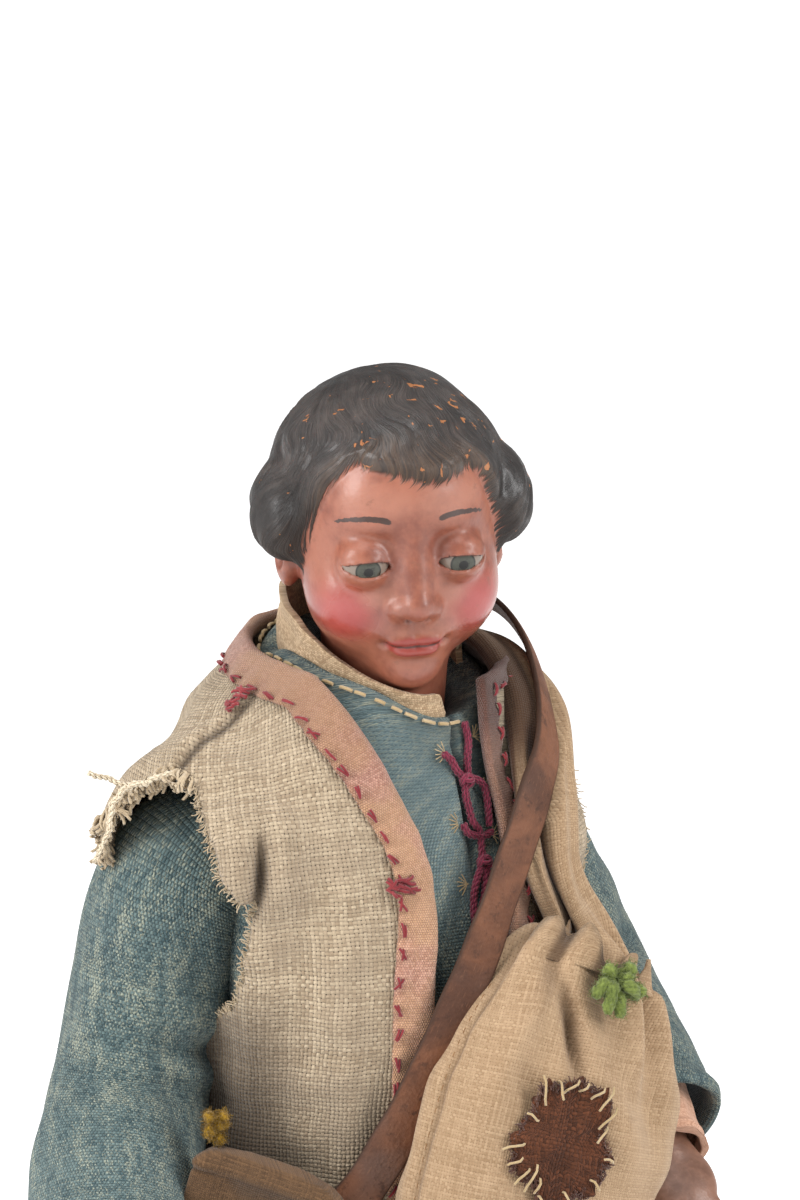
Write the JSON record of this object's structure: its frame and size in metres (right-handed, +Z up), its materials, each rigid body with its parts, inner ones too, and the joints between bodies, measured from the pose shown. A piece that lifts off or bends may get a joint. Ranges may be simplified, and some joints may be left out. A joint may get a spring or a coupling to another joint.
{
  "type": "peasant figure",
  "caption": "Dressed crib figure of a peasant boy in tunic, waistcoat and breeches, with a strap, a patched sack over the shoulder and a hip pouch, standing on a low base.",
  "frame": {"origin": "centre of the base's underside", "axes": "+Z up; the figure faces -Y, and its left side is at +X"},
  "size_m": [0.1613, 0.1146, 0.3613],
  "materials": {
    "stained_wood": "dark stain, satin",
    "painted_wood": "old flesh-coloured oil paint, satin",
    "painted_terracotta": "oil paint over fired clay, glossy and worn",
    "eye_glass": "polished, painted behind",
    "brown_wool": "plain woven wool, matt",
    "blue_wool": "flecked twill, brushed",
    "cream_twill": "fine cotton twill, matt",
    "peach_cotton": "fine cotton, matt",
    "coarse_linen": "coarse plain weave, matt, frayed",
    "pink_ribbon": "woven tape, slight sheen",
    "crimson_cord": "twisted silk cord",
    "sack_linen": "fine plain weave, stained",
    "patch_wool": "felted wool, frayed",
    "green_wool": "soft wool",
    "yellow_wool": "soft wool",
    "worn_leather": "thin, scuffed, dull"
  },
  "bodies": {
    "root": {"base": "stained_wood", "right_leg": "painted_wood", "left_leg": "painted_wood", "breeches": "brown_wool", "tunic": "blue_wool", "shirt_collar": "cream_twill", "right_cuff": "peach_cotton", "left_cuff": "peach_cotton", "right_hand": "painted_wood", "left_hand": "painted_wood", "head": "painted_terracotta", "right_eye": "eye_glass", "left_eye": "eye_glass", "waistcoat": "coarse_linen", "ribbon_binding": "pink_ribbon", "lacing": "crimson_cord", "sack": "sack_linen", "sack_patch": "patch_wool", "sack_tie": "green_wool", "strap": "worn_leather", "hip_pouch": "sack_linen", "pouch_tie": "yellow_wool"}
  },
  "joints": []
}
